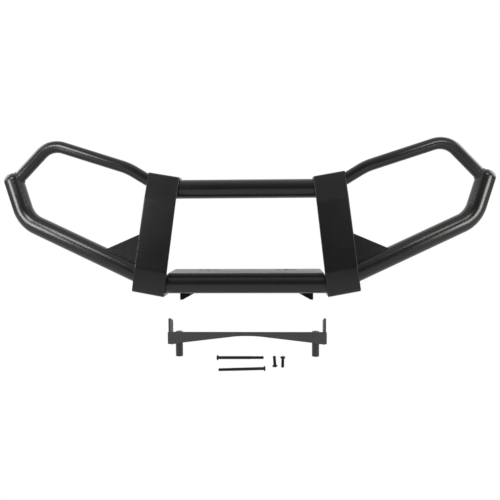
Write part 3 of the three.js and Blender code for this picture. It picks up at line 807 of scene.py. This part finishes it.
crossmember()
for word, side in SIDES:
    slab(f"ear_{word}", rounded(EAR_OUTLINE, [2, 6, 6, 5]),
         [circle(EAR_HOLE[0] - EAR_FRONT, EAR_HOLE[1], EAR_HOLE[2])], EAR_X, EAR_X + EAR_THICK,
         lambda a, b, c, side=side: (BX + side * c, BY + EAR_FRONT + a, BZ + b),
         BRACKET, "bracket", f"bracket_ear_{word}", edge=0.5)
    low, high = SPACER_Z
    profile = [(SPACER_BORE, low + 0.6), (SPACER_BORE + 0.6, low), (SPACER_R - 0.6, low),
               (SPACER_R, low + 0.6), (SPACER_R, high - 0.6), (SPACER_R - 0.6, high),
               (SPACER_BORE + 0.6, high), (SPACER_BORE, high - 0.6), (SPACER_BORE, low + 0.6)]
    centre = (BX + side * SPACER_X, BY + SPACER_Y, BZ)
    verts, faces = turned(profile, centre, (0, 0, 1), 64)
    make(f"spacer_{word}", verts, faces, SLEEVE, "bracket", f"spacer_sleeve_{word}")


# ------------------------------------------------------------------ screws
def screw(name, length, threaded, at, along):
    """Button-head socket screw with a rolled helical thread."""
    sides, per_turn = 36, 8
    start = HEAD_H + length - threaded
    end = HEAD_H + length
    rows = [(r, h, False) for r, h in HEAD_PROFILE]
    if length - threaded > 3:
        rows += [(SCREW_R, start - 0.8, False)]
    steps = int((end - start) / PITCH * per_turn)
    rows += [(SCREW_R, start + (end - start) * k / steps, True) for k in range(1, steps + 1)]
    q = Vector((0, 0, 1)).rotation_difference(Vector(along).normalized())
    origin = Vector(at)
    verts, rings = [], []
    for r, h, threads in rows:
        if r == 0:
            rings.append([len(verts)])
            verts.append(origin + q @ Vector((0, 0, h)))
            continue
        rings.append(list(range(len(verts), len(verts) + sides)))
        for k in range(sides):
            a = 2 * math.pi * k / sides
            radius = r
            if threads:
                phase = (h / PITCH - a / (2 * math.pi)) % 1.0
                depth = THREAD_DEPTH * min(1, max(0, (abs(2 * phase - 1) - 0.12) / 0.72))
                depth *= min(1, (h - start) / 2)
                radius = min(r - depth, r - max(0, 1.0 - (end - h)) * 0.8)
            verts.append(origin + q @ Vector((radius * math.cos(a), radius * math.sin(a), h)))
    rings.append([len(verts)])
    verts.append(origin + q @ Vector((0, 0, end)))
    piece = make(f"{name}_screw", verts, row_faces(rings, sides), OXIDE, name, name, smooth=40)
    corner = SOCKET_AF / math.sqrt(3)
    cut_with(piece, turned([(0, -2), (corner, -2), (corner, SOCKET_DEPTH),
                            (0, SOCKET_DEPTH + 0.8)], at, along, 6))
    piece.data.set_sharp_from_angle(angle=math.radians(40))


for name, values in SCREWS.items():
    screw(name, *values)


# ------------------------------------------------------------------ studio
FLOOR_Z = -620                      # mm
FLOOR_HALF, FLOOR_FADE = 40, (4.5, 8.0)         # m; it dims between these distances
FLOOR_TONE = 0.80
SEEN_WHITE = 1.0
FRONT_TONE, BACK_TONE, SIDE_TONE, TOP_TONE = 0.15, 1.25, 1.1, 0.85
# place and target (m), width and height (m), radiance, colour
SOFTBOXES = {
    "low_left": ((-1.10, -0.52, 0.21), (-1.10, 0.0, 0.21), (0.44, 0.26), 15.0, (1.0, 1.0, 1.0)),
    "key_left": ((-0.70, -0.52, 0.61), (-0.70, 0.0, 0.61), (0.24, 0.32), 14.0, (1.0, 1.0, 1.0)),
    "bank_left": ((-1.55, 0.25, 0.80), (-0.45, 0.06, 0.25), (0.90, 0.90), 2.8, (1.0, 1.0, 1.0)),
    "low_right": ((1.10, -0.52, 0.19), (1.10, 0.0, 0.19), (0.44, 0.24), 14.0, (1.0, 1.0, 0.94)),
    "key_right": ((0.68, -0.52, 0.70), (0.68, 0.0, 0.70), (0.22, 0.28), 9.0, (1.0, 1.0, 0.94)),
    "bank_right": ((1.55, 0.25, 0.80), (0.45, 0.06, 0.25), (0.90, 0.90), 2.8, (1.0, 1.0, 0.96)),
}


def seen_or_lit(n, output, tone, kind):
    """Emitter of the given tone that the camera itself sees as white."""
    lit = n.add(kind, {"Color": (1, 1, 1, 1)})
    n.link(tone, lit.inputs["Strength"])
    seen = n.add(kind, {"Color": (1, 1, 1, 1), "Strength": SEEN_WHITE})
    mix = n.add("ShaderNodeMixShader")
    n.link(n.add("ShaderNodeLightPath").outputs["Is Camera Ray"], mix.inputs[0])
    n.link(lit.outputs[0], mix.inputs[1])
    n.link(seen.outputs[0], mix.inputs[2])
    n.link(mix.outputs[0], output.inputs["Surface"])


def room_tone(n):
    """Light of the surroundings: dim from the camera side, bright from the sides and the back,
    blended by direction."""
    parts = n.add("ShaderNodeSeparateXYZ")
    n.link(n.add("ShaderNodeTexCoord").outputs["Generated"], parts.inputs[0])
    x, y, z = parts.outputs
    front = n.maths("POWER", n.maths("MAXIMUM", n.maths("MULTIPLY", y, -1.0), 0.0), 2.0)
    back = n.maths("POWER", n.maths("MAXIMUM", y, 0.0), 2.0)
    side = n.maths("POWER", n.maths("ABSOLUTE", x), 5.0)
    above = n.maths("POWER", n.maths("MAXIMUM", z, 0.0), 4.0)
    below = n.maths("MAXIMUM", n.maths("MULTIPLY", z, -1.0), 0.0)
    level = n.maths("MAXIMUM", n.maths("SUBTRACT", 1.0, n.maths("ADD", above, below)), 0.0)
    total = n.maths("ADD", n.maths("ADD", front, back), n.maths("ADD", side, 1e-4))
    ring = n.maths("ADD", n.maths("MULTIPLY", front, FRONT_TONE),
                   n.maths("MULTIPLY", back, BACK_TONE))
    ring = n.maths("DIVIDE", n.maths("ADD", ring, n.maths("MULTIPLY", side, SIDE_TONE)), total)
    poles = n.maths("ADD", n.maths("MULTIPLY", above, TOP_TONE),
                    n.maths("MULTIPLY", below, FLOOR_TONE))
    return n.maths("ADD", n.maths("MULTIPLY", ring, level), poles)


world = bpy.data.worlds.new("studio")
bpy.context.scene.world = world
wn = Nodes(world)
world_output = wn.add("ShaderNodeOutputWorld")
seen_or_lit(wn, world_output, room_tone(wn), "ShaderNodeBackground")

paper = bpy.data.materials.new("pale_floor")
pn = Nodes(paper)
distance = pn.add("ShaderNodeVectorMath", operation="LENGTH")
pn.link(pn.add("ShaderNodeNewGeometry").outputs["Position"], distance.inputs[0])
paper_tone = pn.ramp(distance.outputs["Value"], (*FLOOR_FADE, FLOOR_TONE, FRONT_TONE))
seen_or_lit(pn, pn.add("ShaderNodeOutputMaterial"), paper_tone, "ShaderNodeEmission")
floor_mesh = bpy.data.meshes.new("floor")
floor_m = (FLOOR_Z - ORIGIN_Z) * MM
floor_mesh.from_pydata([(-FLOOR_HALF, -FLOOR_HALF, floor_m), (FLOOR_HALF, -FLOOR_HALF, floor_m),
                        (FLOOR_HALF, FLOOR_HALF, floor_m), (-FLOOR_HALF, FLOOR_HALF, floor_m)],
                       [], [(0, 1, 2, 3)])
floor_mesh.materials.append(paper)
show(bpy.data.objects.new("floor", floor_mesh))

for name, (place, target, size, radiance, colour) in SOFTBOXES.items():
    data = bpy.data.lights.new(name, "AREA")
    data.shape = "RECTANGLE"
    data.size, data.size_y = size
    data.energy = radiance * math.pi * size[0] * size[1]
    data.color = colour
    box = show(bpy.data.objects.new(name, data))
    box.location = place
    box.rotation_mode = "QUATERNION"
    box.rotation_quaternion = (Vector(target) - Vector(place)).to_track_quat("-Z", "Y")
    box.visible_camera = False

# ------------------------------------------------------------------ camera
CAMERA_X, CAMERA_Y, CAMERA_Z = 62.7, -1445.9, 176.6     # mm
YAW, PITCH_DOWN, ROLL = -0.0357, 0.0611, 0.0059         # radians
camera_data = bpy.data.cameras.new("camera")
camera_data.lens = 40
camera_data.sensor_width = 36
camera_data.clip_end = 200
camera = show(bpy.data.objects.new("camera", camera_data))
forward = Vector((math.sin(YAW) * math.cos(PITCH_DOWN), math.cos(YAW) * math.cos(PITCH_DOWN),
                  -math.sin(PITCH_DOWN)))
level = forward.cross(Vector((0, 0, 1))).normalized()
up = level.cross(forward)
right = level * math.cos(ROLL) - up * math.sin(ROLL)
up = right.cross(forward)
turn = Matrix((right, up, -forward)).transposed()
place = Vector((CAMERA_X, CAMERA_Y, CAMERA_Z - ORIGIN_Z)) * MM
camera.matrix_world = Matrix.Translation(place) @ turn.to_4x4()
bpy.context.scene.camera = camera
bpy.context.scene.view_settings.view_transform = "Standard"
